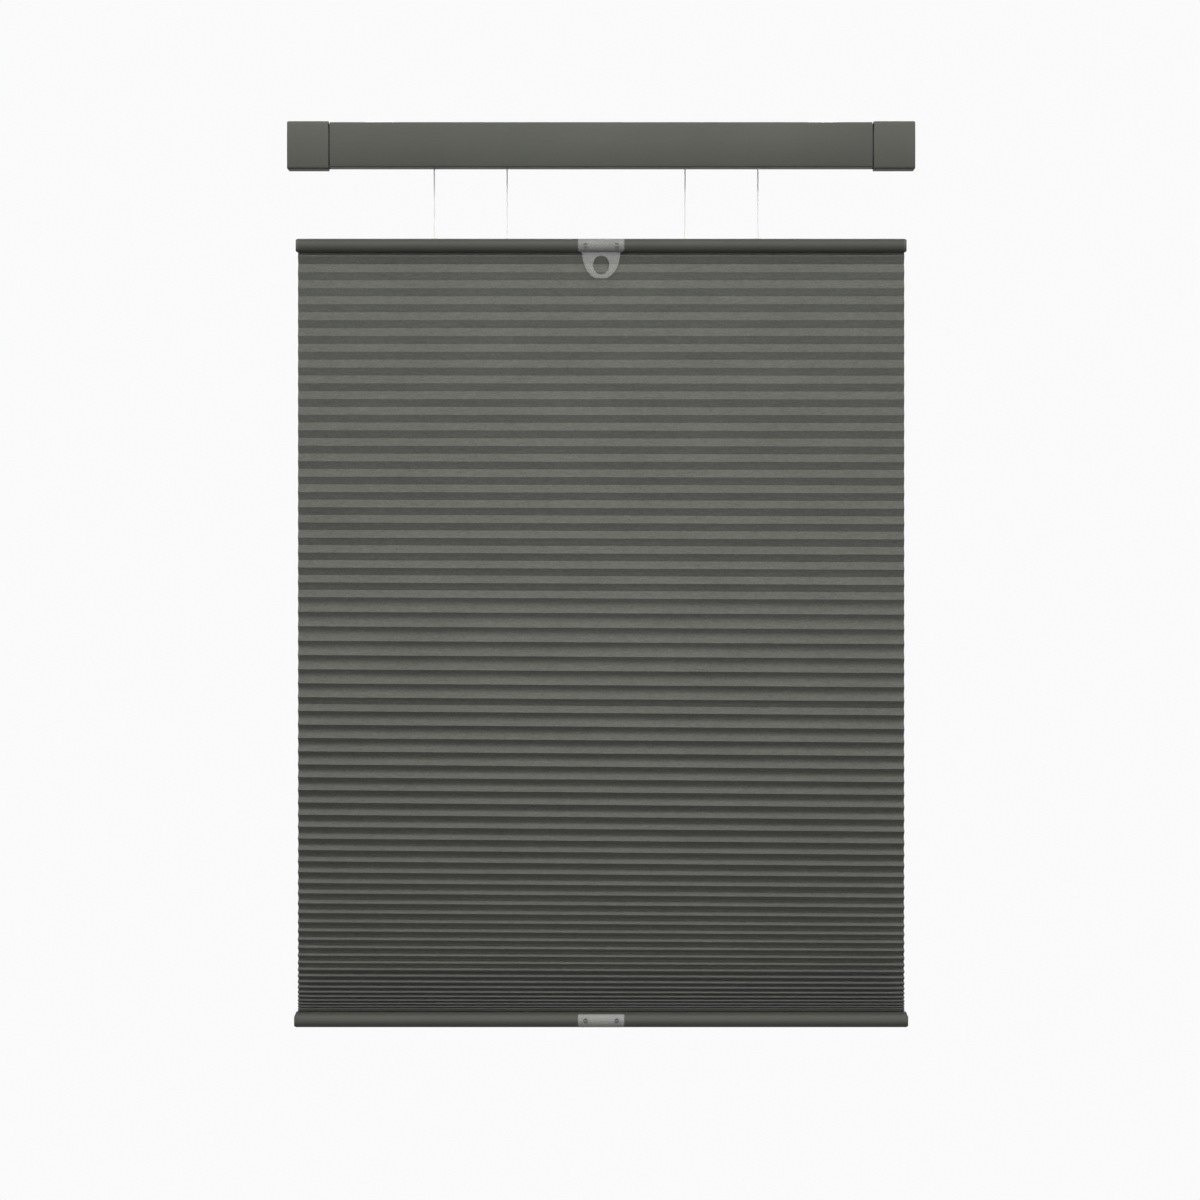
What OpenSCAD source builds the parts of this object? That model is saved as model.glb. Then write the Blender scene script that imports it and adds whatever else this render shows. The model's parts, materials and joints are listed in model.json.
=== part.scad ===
// Pleated blind with honeycomb cells, which opens from the top down and from the bottom up.
// Two spring motors in the head rail wind the lift cords of the middle rail and the bottom rail.
// +Z is up and -Y is the room side. The origin is the middle of the brackets' top face,
// which is screwed up under the lintel.

/* [Blind] */
// Width of the head rail over its end caps
head_w = 610; // [480:5:1200]
// Open gap between the head rail and the middle rail
open_gap = 68.65; // [5:0.05:300]
// Drop of the fabric between the middle rail and the bottom rail
drop = 738.6; // [400:0.1:1500]

/* [Head rail] */
// Height of the channel
rail_h = 44; // [43:0.5:60]
// Depth of the channel over its bowed front
rail_d = 50; // [49:0.5:70]
// Wall of the channel
rail_wall = 1.2; // [0.8:0.1:1.6]
// How far the front of the channel bows out
front_bow = 2.5; // [1:0.1:3]
// Radius of the bends between the channel's front and its top and bottom
rail_round = 2; // [1.7:0.1:4]
// Width of the lips along the open top of the channel
lip_w = 7; // [5:0.5:8]
// Length of an end cap
cap_len = 40; // [20:1:60]
// How far an end cap stands proud of the channel
cap_rise = 1.4; // [1:0.1:2]
// Wall of an end cap
cap_wall = 1.25; // [1:0.05:2]
// Wall that closes an end cap
cap_end = 2; // [1:0.1:4]
// Open joint between an end cap and the channel
cap_joint = 1.5; // [0.6:0.1:3]
// Length of the tabs by which an end cap is pushed into the channel
cap_tab = 14; // [8:0.5:20]
// Rounding of an end cap's outer corners
cap_round = 1.5; // [0.5:0.1:2]

/* [Brackets] */
// Distance from the end of the head rail to the middle of a bracket
bracket_inset = 90; // [82:1:120]
// Width of a bracket
bracket_w = 26; // [20:1:40]
// Sheet thickness of a bracket
bracket_t = 0.8; // [0.6:0.1:1.2]
// Diameter of a screw hole
screw_hole = 4.4; // [3.5:0.1:6]
// Distance between the two screw holes in a bracket's top
screw_row = 14; // [9:0.5:15]
// Height of a bracket's rear flange
flange_h = 20; // [14:1:30]
// How far a bracket's foot reaches under a lip
foot_reach = 4; // [2:0.5:4.5]

/* [Lift] */
// Distance between the spools of the bottom rail
bottom_span = 314.9; // [260:0.1:360]
// Distance between the spools of the middle rail
middle_span = 173.1; // [120:0.1:190]
// Diameter of a lift cord
cord_d = 1.2; // [0.8:0.1:1.6]
// How far a cord runs beside the middle plane of the blind
cord_y = 1; // [0.6:0.1:1.2]
// How far a cord leaves its spool to the left of the spool's middle
cord_shift = 4.9; // [3:0.1:6]
// Diameter of a spool's drum
drum_d = 16; // [13:0.5:16]
// Length of a spool's drum between its flanges
drum_len = 15.6; // [13:0.2:18]
// How far a spool's flange stands out of its drum
flange_rim = 1.2; // [1:0.1:1.5]
// Thickness of a spool's flange
flange_t = 1.2; // [0.8:0.1:2]
// Diameter of the journals of spools and drums
journal_d = 7; // [6:0.2:7.4]
// Length of a spool's journal
journal_len = 4; // [3.2:0.1:6]
// Distance across the flats of a lift shaft
shaft_flats = 4; // [3:0.1:4.4]
// Thickness of a cradle's base
cradle_base = 1.6; // [1.2:0.1:2.2]
// Thickness of a cradle's cheek
cheek_t = 2.6; // [2:0.1:3]
// Turns of cord left on a spool
turns = 5; // [2:1:6]

/* [Spring motors] */
// Width of a spring motor over its plates
motor_w = 36; // [32:1:60]
// Thickness of a motor plate
plate_t = 2; // [1.5:0.1:2.5]
// Distance between the two drums of a motor
drum_pitch = 17; // [16.6:0.1:18]
// Number of teeth on each drum's gear
teeth = 18; // [16:2:20]
// Width of a drum's gear
gear_w = 5; // [3:0.5:8]
// Diameter of the output drum's core
output_core = 10; // [9:0.2:10.4]
// Diameter of the storage drum's core
storage_core = 9; // [8:0.2:10]
// Diameter of the storage drum's pin
pin_d = 4; // [3:0.1:5]
// Thickness of the spring wound on the storage drum
storage_coil = 3; // [1.5:0.1:3.2]
// Thickness of the spring wound on the output drum
output_coil = 1.3; // [0.8:0.1:2]
// Thickness of the spring strip between the drums
strip_t = 0.4; // [0.3:0.05:0.6]
// Diameter of the pegs that tie the plates together
peg_d = 3; // [2:0.1:3.4]

/* [Middle rail] */
// How far the middle rail stops short of each end of the head rail
mid_inset = 8; // [2:0.5:30]
// Height of the middle rail
mid_h = 13.4; // [12.6:0.1:18]
// Depth of the middle rail
mid_d = 24; // [23:0.5:32]

/* [Bottom rail] */
// How far the bottom rail stops short of each end of the head rail
bot_inset = 6.5; // [2:0.5:30]
// Height of the bottom rail's body
bot_h = 13; // [12.4:0.1:18]
// Depth of the bottom rail
bot_d = 26; // [25:0.5:34]
// Height of the shoulder on top of the bottom rail
shoulder_h = 2; // [1.6:0.1:4]
// Depth of the shoulder
shoulder_d = 16; // [12:0.5:19]

/* [Both rails] */
// Wall of the middle rail and the bottom rail
slim_wall = 1.2; // [1:0.1:1.5]
// Thickness of a rail cap's outer plate
plug_t = 2.6; // [1.5:0.1:4]
// Width of the slanted corners of a rail cap
corner_w = 2; // [0.5:0.1:2.4]
// Height of the slanted top corner of a bottom rail cap
corner_h = 4.8; // [2:0.1:6]
// Height of the slanted corners of a middle rail cap
soft_corner_h = 1.2; // [0.5:0.1:3]
// Length of a rail cap's plug
plug_len = 9; // [5:0.5:14]
// Width of the strip that holds the fabric in a rail
strip_w = 9.4; // [8:0.1:9.8]
// Thickness of the fabric strip
strip_h = 1.4; // [1:0.1:1.8]
// Diameter of a cord stop
stop_d = 4.6; // [3.6:0.1:5]
// Height of a cord stop
stop_h = 4; // [3:0.1:4.4]

/* [Fabric] */
// How far the fabric stops short of each end of the middle rail
fabric_inset = 2; // [0.5:0.1:6]
// Mean height of a pleat as it hangs
pleat_mean = 11.45; // [9:0.05:13]
// Share of the pleats over which the stack at the bottom opens out
stack_ratio = 0.47; // [0.3:0.01:0.8]
// Length of a pleat's two faces over the height to which the top pleat is drawn out
slack_ratio = 1.02; // [1.01:0.005:1.2]
// Thickness of the fabric
fabric_t = 0.35; // [0.25:0.01:0.4]
// Width of the glued strip between two cells
glue_w = 5; // [4.6:0.1:5.4]
// Height of the first fold below the middle rail
first_fold = 3.6; // [2.5:0.1:6]
// Height of the last fold above the bottom rail
last_fold = 1.4; // [1:0.1:3]

/* [Handles] */
// Width of a handle's clip
clip_w = 45; // [42:0.5:60]
// Thickness of a handle
clip_t = 1.8; // [1.4:0.1:2.4]
// Radius of the clip's lower corners
clip_corner = 3.4; // [1:0.1:4]
// Distance between the two screws of a handle
screw_span = 30.4; // [28:0.2:36]
// Diameter of a handle screw's head
screw_head = 4.4; // [3.6:0.1:4.8]
// Diameter of a handle screw's shank
screw_shank = 2.2; // [1.6:0.1:2.4]
// Length of the raised panel between the screws
panel_w = 20; // [12:0.5:22]
// Height of the raised panel
panel_h = 6.6; // [4:0.1:7]
// Width of the pull tab at its root
tab_w = 37; // [30:0.5:41]
// Thickness of the pull tab
tab_t = 1.6; // [1.2:0.1:1.8]
// How far the pull tab stands back from the front of its clip
tab_back = 4; // [3:0.1:4.6]
// How far the pull tab hangs below the middle rail
tab_drop = 26.2; // [24:0.2:34]
// Width of the finger hole
finger_w = 15.8; // [13:0.2:18]
// Height of the finger hole
finger_h = 18.4; // [15:0.2:19]

/* [Clearances] */
// Gap between two pieces that are fitted together
fit_gap = 0.15; // [0.1:0.01:0.2]
// Gap round a turning journal
run_gap = 0.08; // [0.05:0.01:0.1]
// Gap beside what turns or hangs free
free_gap = 0.4; // [0.3:0.05:0.6]

/* [Hidden] */
$fn = 64;

// Colours
c_rail = [0.36, 0.365, 0.34];
c_fabric = [0.40, 0.405, 0.38];
c_clear = [0.72, 0.73, 0.70, 0.6];
c_steel = [0.70, 0.71, 0.72];
c_white = [0.90, 0.91, 0.88];
c_nylon = [0.82, 0.82, 0.80];

// Widths of the rails and the fabric
mid_w = head_w - 2 * mid_inset;
bot_w = head_w - 2 * bot_inset;
fabric_w = mid_w - 2 * fabric_inset;

// Heights of the head rail, which hangs in the brackets. The end caps are level with the brackets' top.
rail_top = -bracket_t - fit_gap;
rail_bottom = rail_top - rail_h;
floor_z = rail_bottom + rail_wall;
lip_z = rail_top - rail_wall;
rail_mid = (rail_top + rail_bottom) / 2;
cap_drop = cap_rise + rail_top;

// Depths of the head rail. Its front is an arc through its two edges and the bow.
rail_back = rail_d / 2;
front_edge = front_bow - rail_d / 2;
bow_r = (rail_h * rail_h / 4 + front_bow * front_bow) / (2 * front_bow);
bow_y = bow_r - rail_d / 2;
mouth_front = front_edge + rail_wall + lip_w;
mouth_back = rail_back - rail_wall - lip_w;
channel_len = head_w - 2 * (cap_len + cap_joint);

// Bends of the channel's front, each an arc that runs on into the bow
bend_rise = rail_h / 2 - rail_round;
bend_y = bow_y - sqrt((bow_r - rail_round) * (bow_r - rail_round) - bend_rise * bend_rise);
bow_angle = asin(bend_rise / (bow_r - rail_round));
bend_steps = 8;
bow_steps = 32;
hole_steps = 48;

// Lift shafts: the middle rail's in front, the bottom rail's behind
wind_r = drum_d / 2 + cord_d / 2 + free_gap;
shaft_y = cord_y + wind_r;
spool_r = drum_d / 2 + flange_rim;
shaft_z = floor_z + cradle_base + free_gap + spool_r;
storage_z = shaft_z + drum_pitch;
spool_len = drum_len + 2 * (flange_t + journal_len);
shaft_over = spool_len / 2 + 2;
cord_hole = 2 * cord_d;
front = -1;
rear = 1;
left = -1;
right = 1;

// Heights of the two rails
mid_top = rail_bottom - open_gap;
mid_bottom = mid_top - mid_h;
mid_z = (mid_top + mid_bottom) / 2;
bot_top = mid_bottom - drop;
body_top = bot_top - shoulder_h;
bot_bottom = body_top - bot_h;
bot_z = (body_top + bot_bottom) / 2;
slot_w = glue_w + 2 * free_gap;
middle_strip_z = mid_bottom + slim_wall;
bottom_strip_z = body_top - slim_wall - strip_h;
middle_stop_z = mid_top - slim_wall - stop_h;
bottom_stop_z = bottom_strip_z - stop_h;

// Pleats: each one is drawn out by those that hang below it, so they close up to a stack at the bottom
fold_span = drop - first_fold - last_fold;
pleats = round(fold_span / pleat_mean);
function tanh(x) = (exp(2 * x) - 1) / (exp(2 * x) + 1);
function opening(i) = tanh((pleats + 2 - i) / (stack_ratio * pleats));
openings = [for (i = [0 : pleats - 1]) opening(i)];
function sum_to(list, n) = n <= 0 ? 0 : list[n - 1] + sum_to(list, n - 1);
open_sum = sum_to(openings, pleats);
function ridge_z(i) = mid_bottom - first_fold - fold_span * sum_to(openings, i) / open_sum;
ridges = [for (i = [0 : pleats]) ridge_z(i)];
glue_lines = [for (i = [0 : pleats - 1]) (ridges[i] + ridges[i + 1]) / 2];
valleys = concat([mid_bottom], glue_lines, [bot_top]);
pleat_face = slack_ratio * (ridges[0] - ridges[1]) / 2;
function fold_depth(i) =
    let (half = (ridges[max(i - 1, 0)] - ridges[min(i + 1, pleats)]) / (i == 0 || i == pleats ? 2 : 4))
    sqrt(pleat_face * pleat_face - half * half);
depths = [for (i = [0 : pleats]) fold_depth(i)];

// Runs a section drawn as (depth, height) along the blind
module along_x(x0, x1) {
    translate([x0, 0, 0]) rotate([90, 0, 90]) linear_extrude(height = x1 - x0) children();
}

// Stands an outline drawn as (width, height) on edge between two depths
module along_y(y0, y1) {
    translate([0, y1, 0]) rotate([90, 0, 0]) linear_extrude(height = y1 - y0) children();
}

// Places what is drawn about the Z axis on a lift axis, with its own Z towards +X
module on_axis(x, y, z) {
    translate([x, y, z]) rotate([0, 90, 0]) children();
}

module span(low, high) {
    translate(low) square(high - low);
}

module box(low, high) {
    translate(low) cube(high - low);
}

// Points of an arc, or of an ellipse's arc, between two angles
function arc(centre, rx, ry, a0, a1, steps) =
    [for (k = [0 : steps]) let (a = a0 + (a1 - a0) * k / steps) centre + [rx * cos(a), ry * sin(a)]];

// Outline of the channel, grown on every side
module channel_outline(grow) {
    bend = rail_round + grow;
    bow = bow_r + grow;
    bow_inner = bow_angle * (1 - 2 / bow_steps);
    polygon(concat(
        arc([bend_y, rail_mid + bend_rise], bend, bend, 90, 180 - bow_angle, bend_steps),
        arc([bow_y, rail_mid], bow, bow, 180 - bow_inner, 180 + bow_inner, bow_steps - 2),
        arc([bend_y, rail_mid - bend_rise], bend, bend, 180 + bow_angle, 270, bend_steps),
        [[rail_back + grow, rail_bottom - grow], [rail_back + grow, rail_top + grow]]
    ));
}

module head_rail() {
    color(c_rail) difference() {
        along_x(-channel_len / 2, channel_len / 2) difference() {
            channel_outline(0);
            channel_outline(-rail_wall);
            span([mouth_front, lip_z - rail_wall], [mouth_back, rail_top + rail_wall]);
        }
        for (side = [left, right]) {
            cord_outlet(side * middle_span / 2, front);
            cord_outlet(side * bottom_span / 2, rear);
        }
    }
}

// Hole in the channel's floor for the spout of a cradle
module cord_outlet(spool_x, row) {
    translate([spool_x - cord_shift, row * cord_y, rail_bottom - rail_wall])
        cylinder(d = spout_d + 2 * fit_gap, h = 3 * rail_wall);
}

// End cap: a shell that stands proud of the channel, with a tab on the channel's floor and a high one on its
// back that closes the joint to the eye
plug_wall = 1.6;
tab_low = floor_z + fit_gap;
tab_high = lip_z - fit_gap;
tab_rear = rail_back - rail_wall - fit_gap;
cap_top = rail_top + cap_rise - cap_drop;
cap_bottom = rail_bottom - cap_rise - cap_drop;
cap_low = cap_bottom + cap_wall / 2;
cap_rear = rail_back + cap_rise - cap_wall / 2;
// Cutter that rounds an upper corner of the cap, as it is seen from the front
module cap_corner() {
    rotate([90, 0, 0]) linear_extrude(height = 4 * rail_d, center = true) polygon(concat(
        [[-cap_round, -cap_round], [-cap_round, cap_round], [cap_round, cap_round]],
        arc([cap_round, -cap_round], cap_round, cap_round, 90, 180, bend_steps)
    ));
}

module head_cap(side) {
    end = -head_w / 2;
    mouth = end + cap_len;
    root = mouth - cap_tab / 2;
    tip = mouth + cap_joint + cap_tab;
    half_d = rail_d / 4;
    color(c_rail) mirror([side == right ? 1 : 0, 0, 0]) {
        difference() {
            translate([0, 0, -cap_drop]) difference() {
                along_x(end, mouth) channel_outline(cap_rise);
                along_x(end + cap_end, mouth + 1) channel_outline(cap_rise - cap_wall);
            }
            translate([end, 0, cap_top]) cap_corner();
            translate([end, 0, cap_bottom]) mirror([0, 0, 1]) cap_corner();
        }
        box([root, -half_d, tab_low], [tip, half_d, tab_low + plug_wall]);
        box([root, -half_d, cap_low], [mouth, half_d, tab_low + plug_wall / 2]);
        box([root, tab_rear - plug_wall, tab_low], [tip, tab_rear, tab_high]);
        box([root, tab_rear - plug_wall, rail_bottom], [mouth + cap_joint - fit_gap, tab_rear, rail_top]);
        box([root, tab_rear - plug_wall / 2, tab_low], [mouth, cap_rear, tab_high]);
    }
}

// Bracket of folded sheet: feet under both lips carry the rail, and a flange turns down behind it
foot_top = lip_z - fit_gap;
foot_low = foot_top - bracket_t;
leg_front = mouth_front + free_gap;
leg_back = mouth_back - free_gap;
flange_y = rail_back + fit_gap;
module bracket(side) {
    x = side * (head_w / 2 - bracket_inset);
    color(c_steel) difference() {
        along_x(x - bracket_w / 2, x + bracket_w / 2) {
            span([leg_front, -bracket_t], [flange_y + bracket_t, 0]);
            span([flange_y, -flange_h], [flange_y + bracket_t, 0]);
            span([leg_front, foot_low], [leg_front + bracket_t, 0]);
            span([mouth_front - foot_reach, foot_low], [leg_front + bracket_t, foot_top]);
            span([leg_back - bracket_t, foot_low], [leg_back, 0]);
            span([leg_back - bracket_t, foot_low], [mouth_back + foot_reach, foot_top]);
        }
        for (row = [front, rear])
            translate([x, row * screw_row / 2, -2 * bracket_t]) cylinder(d = screw_hole, h = 3 * bracket_t);
        translate([x, flange_y - bracket_t, -flange_h / 2])
            rotate([-90, 0, 0]) cylinder(d = screw_hole, h = 3 * bracket_t);
    }
}

// Cradle that a spool drops into, with a spout through the channel's floor for the cord
spout_d = cord_hole + 3;
spout_drop = 0.8;
spout_land = 1.2;
cheek_x = drum_len / 2 + flange_t + journal_len / 2;
cheek_half = journal_d / 2 + 2.6;
module cradle(span_w, side, row) {
    x = side * span_w / 2;
    y = row * shaft_y;
    cord_x = x - cord_shift;
    base_in = row * (cord_y - spout_d / 2 - spout_land);
    base_out = row * (shaft_y + spool_r);
    color(c_nylon) difference() {
        union() {
            box([x - cheek_x - cheek_t / 2, min(base_in, base_out), floor_z],
                [x + cheek_x + cheek_t / 2, max(base_in, base_out), floor_z + cradle_base]);
            for (end = [left, right])
                box([x + end * cheek_x - cheek_t / 2, y - cheek_half, floor_z],
                    [x + end * cheek_x + cheek_t / 2, y + cheek_half, shaft_z + journal_d / 2]);
            translate([cord_x, row * cord_y, rail_bottom - spout_drop])
                cylinder(d = spout_d, h = rail_wall + spout_drop + cradle_base / 2);
        }
        on_axis(x - spool_len, y, shaft_z) cylinder(d = journal_d + 2 * run_gap, h = 2 * spool_len);
        box([x - spool_len, y - journal_d / 2 - run_gap, shaft_z],
            [x + spool_len, y + journal_d / 2 + run_gap, shaft_z + journal_d]);
        translate([cord_x, row * cord_y, rail_bottom - 2 * spout_drop])
            cylinder(d = cord_hole, h = rail_h / 2);
    }
}

// Six-sided rod along a lift axis
module hex_rod(x0, x1, y, flats) {
    on_axis(x0, y, shaft_z) cylinder(d = flats / cos(30), h = x1 - x0, $fn = 6);
}

module lift_shaft(span_w, row) {
    reach = span_w / 2 + shaft_over;
    color(c_steel) hex_rod(-reach, reach, row * shaft_y, shaft_flats);
}

// Spool with a slightly tapered drum between two flanges
drum_taper = 0.4;
module spool(span_w, side, row) {
    x = side * span_w / 2;
    drum_end = journal_len + flange_t;
    color(c_nylon) difference() {
        on_axis(x - spool_len / 2, row * shaft_y, shaft_z) rotate_extrude() polygon([
            [0, 0], [journal_d / 2, 0], [journal_d / 2, journal_len],
            [spool_r, journal_len], [spool_r, drum_end],
            [drum_d / 2, drum_end], [drum_d / 2 - drum_taper, drum_end + drum_len],
            [spool_r, drum_end + drum_len], [spool_r, drum_end + drum_len + flange_t],
            [journal_d / 2, drum_end + drum_len + flange_t], [journal_d / 2, spool_len], [0, spool_len]
        ]);
        hex_rod(x - spool_len, x + spool_len, row * shaft_y, shaft_flats + fit_gap);
    }
}

// Turns of cord that stay on the two spools of a shaft, as one ridged sleeve on each
module cord_turns(span_w, row) {
    pitch = cord_d + run_gap;
    inner = drum_d / 2 + run_gap;
    color(c_white) for (side = [left, right])
        on_axis(side * span_w / 2 - cord_shift + cord_d, row * shaft_y, shaft_z)
            rotate_extrude() {
                span([inner, 0], [inner + cord_d / 2, turns * pitch]);
                for (i = [0 : turns - 1])
                    translate([inner + cord_d / 2, (i + 0.5) * pitch]) circle(d = cord_d, $fn = 24);
            }
}

// Involute gear outline with room for backlash, its first tooth at the given angle
gear_module = drum_pitch / teeth;
gear_r = drum_pitch / 2;
gear_base = gear_r * cos(20);
gear_tip = gear_r + 0.8 * gear_module;
gear_root = gear_r - 1.15 * gear_module;
backlash = 0.3;
flank_steps = 4;
function involute(r) = let (a = acos(min(1, gear_base / r))) tan(a) * 180 / PI - a;
half_tooth = 90 / teeth - backlash / 2 / gear_r * 180 / PI;
function flank_r(k) = max(gear_base, gear_root) + (gear_tip - max(gear_base, gear_root)) * k / flank_steps;
function flank_a(k) = half_tooth + involute(gear_r) - involute(flank_r(k));
function polar(r, a) = [r * cos(a), r * sin(a)];
module gear_outline(first) {
    polygon([for (i = [0 : teeth - 1]) let (mid = first + i * 360 / teeth) each concat(
        [polar(gear_root, mid - flank_a(0))],
        [for (k = [0 : flank_steps]) polar(flank_r(k), mid - flank_a(k))],
        [for (k = [flank_steps : -1 : 0]) polar(flank_r(k), mid + flank_a(k))],
        [polar(gear_root, mid + flank_a(0))]
    )]);
}

// Places along a motor, from its left plate to its right plate
motor_left = -motor_w / 2;
drum_x0 = motor_left + plate_t + free_gap;
drum_x1 = -drum_x0;
gear_x1 = drum_x0 + gear_w;
rim_t = 2;
rim_x0 = drum_x1 - rim_t;
rim_r = drum_pitch / 2 - free_gap;
pin_over = 1;

module round_x(x0, x1, y, z, d) {
    on_axis(x0, y, z) cylinder(d = d, h = x1 - x0);
}

// Gear, core and rim that both drums of a motor have
module drum_body(row, z, core, first_tooth) {
    y = row * shaft_y;
    along_x(drum_x0, gear_x1) translate([y, z]) gear_outline(first_tooth);
    round_x(gear_x1 - 0.1, rim_x0 + 0.1, y, z, core);
    round_x(rim_x0, drum_x1, y, z, 2 * rim_r);
}

module output_drum(row) {
    y = row * shaft_y;
    color(c_nylon) difference() {
        union() {
            drum_body(row, shaft_z, output_core, 90);
            round_x(motor_left - pin_over, -motor_left + pin_over, y, shaft_z, journal_d);
        }
        hex_rod(-motor_w, motor_w, y, shaft_flats + fit_gap);
    }
}

module storage_drum(row) {
    color(c_nylon) difference() {
        drum_body(row, storage_z, storage_core, 90 + 180 / teeth);
        round_x(-motor_w, motor_w, row * shaft_y, storage_z, pin_d + 2 * run_gap);
    }
}

module storage_pin(row) {
    color(c_steel) round_x(motor_left - pin_over, -motor_left + pin_over, row * shaft_y, storage_z, pin_d);
}

// Side plate of a motor. The left one carries the pegs, and the right one slides onto them.
plate_half = gear_tip + 0.1;
plate_top = storage_z + gear_tip + 2;
peg_y = plate_half - peg_d / 2 - 0.4;
peg_low = floor_z + peg_d / 2 + 0.6;
peg_high = plate_top - peg_d / 2 - 0.6;
module at_pegs(row) {
    for (dy = [-peg_y, peg_y], z = [peg_low, peg_high]) translate([0, row * shaft_y + dy, z]) children();
}
module motor_plate(row, side) {
    y = row * shaft_y;
    x0 = side == left ? motor_left : -motor_left - plate_t;
    color(c_nylon) difference() {
        union() {
            box([x0, y - plate_half, floor_z], [x0 + plate_t, y + plate_half, plate_top]);
            if (side == left)
                at_pegs(row) on_axis(motor_left, 0, 0) cylinder(d = peg_d, h = motor_w);
        }
        round_x(-motor_w, motor_w, y, shaft_z, journal_d + 2 * run_gap);
        round_x(-motor_w, motor_w, y, storage_z, pin_d + 2 * run_gap);
        if (side == right)
            at_pegs(row) on_axis(0, 0, 0) cylinder(d = peg_d + 2 * run_gap, h = motor_w);
    }
}

// Spring strip wound on the storage drum, led across to the output drum and wound on it the other way
spring_x0 = gear_x1 + free_gap;
spring_x1 = rim_x0 - free_gap;
storage_in = storage_core / 2 + run_gap;
storage_out = storage_in + storage_coil;
output_in = output_core / 2 + run_gap;
output_out = output_in + output_coil;
lead_off = storage_out + output_out - 2 * strip_t;
lead_a = asin(lead_off / drum_pitch);
lead_len = sqrt(drum_pitch * drum_pitch - lead_off * lead_off);
module spring(row) {
    y = row * shaft_y;
    color(c_steel) along_x(spring_x0, spring_x1) {
        translate([y, storage_z]) difference() {
            circle(r = storage_out);
            circle(r = storage_in);
        }
        translate([y, shaft_z]) difference() {
            circle(r = output_out);
            circle(r = output_in);
        }
        translate([y, storage_z]) rotate(-lead_a)
            span([storage_out - 1.5 * strip_t, -lead_len], [storage_out - strip_t / 2, 0]);
    }
}

// Section with half-round front and back, centred on a height
module slim_outline(z, h, d, inset) {
    r = h / 2;
    for (y = [r - d / 2, d / 2 - r]) translate([y, z]) circle(r = r - inset);
    span([r - d / 2, z - r + inset], [d / 2 - r, z + r - inset]);
}

// Hole along Z for a cord, through whatever lies between two heights
module cord_way(x, row, z0, z1, d) {
    translate([x - cord_shift, row * cord_y, z0]) cylinder(d = d, h = z1 - z0);
}

eyelet_d = cord_hole + 2;
module middle_rail() {
    half = mid_w / 2 - plug_t;
    color(c_rail) difference() {
        along_x(-half, half) difference() {
            slim_outline(mid_z, mid_h, mid_d, 0);
            slim_outline(mid_z, mid_h, mid_d, slim_wall);
            span([-slot_w / 2, mid_bottom - 1], [slot_w / 2, mid_z]);
        }
        for (side = [left, right]) {
            cord_way(side * middle_span / 2, front, mid_z, mid_top + 1, cord_hole);
            cord_way(side * bottom_span / 2, rear, mid_z, mid_top + 1, eyelet_d + 2 * fit_gap);
        }
        handle_screw_ways(mid_z, mid_d);
    }
}

module bottom_rail() {
    half = bot_w / 2 - plug_t;
    color(c_rail) difference() {
        along_x(-half, half) difference() {
            union() {
                slim_outline(bot_z, bot_h, bot_d, 0);
                span([-shoulder_d / 2, bot_z], [shoulder_d / 2, bot_top]);
            }
            slim_outline(bot_z, bot_h, bot_d, slim_wall);
            span([-slot_w / 2, bot_z], [slot_w / 2, bot_top + 1]);
        }
        handle_screw_ways(bot_z, bot_d);
    }
}

// Cap of a slim rail: an outer plate with the rail's outline, and a plug in its hollow
module slim_plate(w, z, h, d) {
    along_x(-w / 2, -w / 2 + plug_t) {
        slim_outline(z, h, d, 0);
        children();
    }
    along_x(-w / 2 + plug_t / 2, -w / 2 + plug_t + plug_len) slim_outline(z, h, d, slim_wall + fit_gap);
}

// Slants an outer corner off at a height, downwards or upwards
module corner_cut(w, d, z, rise) {
    along_y(-d, d) polygon([[-w / 2 - 1, z + rise / 4], [-w / 2 - 1, z - rise * (1 + 1 / corner_w)],
        [-w / 2 + corner_w * 1.25, z + rise / 4]]);
}

module middle_rail_cap(side) {
    color(c_rail) mirror([side == right ? 1 : 0, 0, 0]) difference() {
        slim_plate(mid_w, mid_z, mid_h, mid_d);
        corner_cut(mid_w, mid_d, mid_top, soft_corner_h);
        corner_cut(mid_w, mid_d, mid_bottom, -soft_corner_h);
    }
}

module bottom_rail_cap(side) {
    color(c_rail) mirror([side == right ? 1 : 0, 0, 0]) difference() {
        slim_plate(bot_w, bot_z, bot_h, bot_d)
            span([-shoulder_d / 2, bot_z], [shoulder_d / 2, bot_top]);
        corner_cut(bot_w, bot_d, bot_top, corner_h);
        corner_cut(bot_w, bot_d, bot_bottom, -soft_corner_h);
    }
}

// Flat strip that keeps the fabric's end in its rail, with holes for the cords that pass it
module fabric_strip(z, w) {
    half = w / 2 - plug_t - plug_len - free_gap;
    color(c_white) difference() {
        box([-half, -strip_w / 2, z], [half, strip_w / 2, z + strip_h]);
        for (side = [left, right])
            cord_way(side * bottom_span / 2, rear, z - 1, z + strip_h + 1, cord_hole);
    }
}

// Stops crimped on the ends of the cords of one rail
module cord_stops(span_w, row, z) {
    color(c_nylon) difference() {
        for (side = [left, right])
            cord_way(side * span_w / 2, row, z, z + stop_h, stop_d);
        for (side = [left, right])
            cord_way(side * span_w / 2, row, z - 1, z + stop_h + 1, cord_d + 2 * run_gap);
    }
}

// Eyelets that line the holes where the bottom rail's cords pass the middle rail
eyelet_rim = 0.5;
module middle_cord_eyelets() {
    color(c_nylon) difference() {
        for (side = [left, right]) {
            cord_way(side * bottom_span / 2, rear, mid_top - slim_wall, mid_top + eyelet_rim, eyelet_d);
            cord_way(side * bottom_span / 2, rear, mid_top, mid_top + eyelet_rim, eyelet_d + 2);
        }
        for (side = [left, right])
            cord_way(side * bottom_span / 2, rear, mid_z, mid_top + 1, cord_hole);
    }
}

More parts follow.
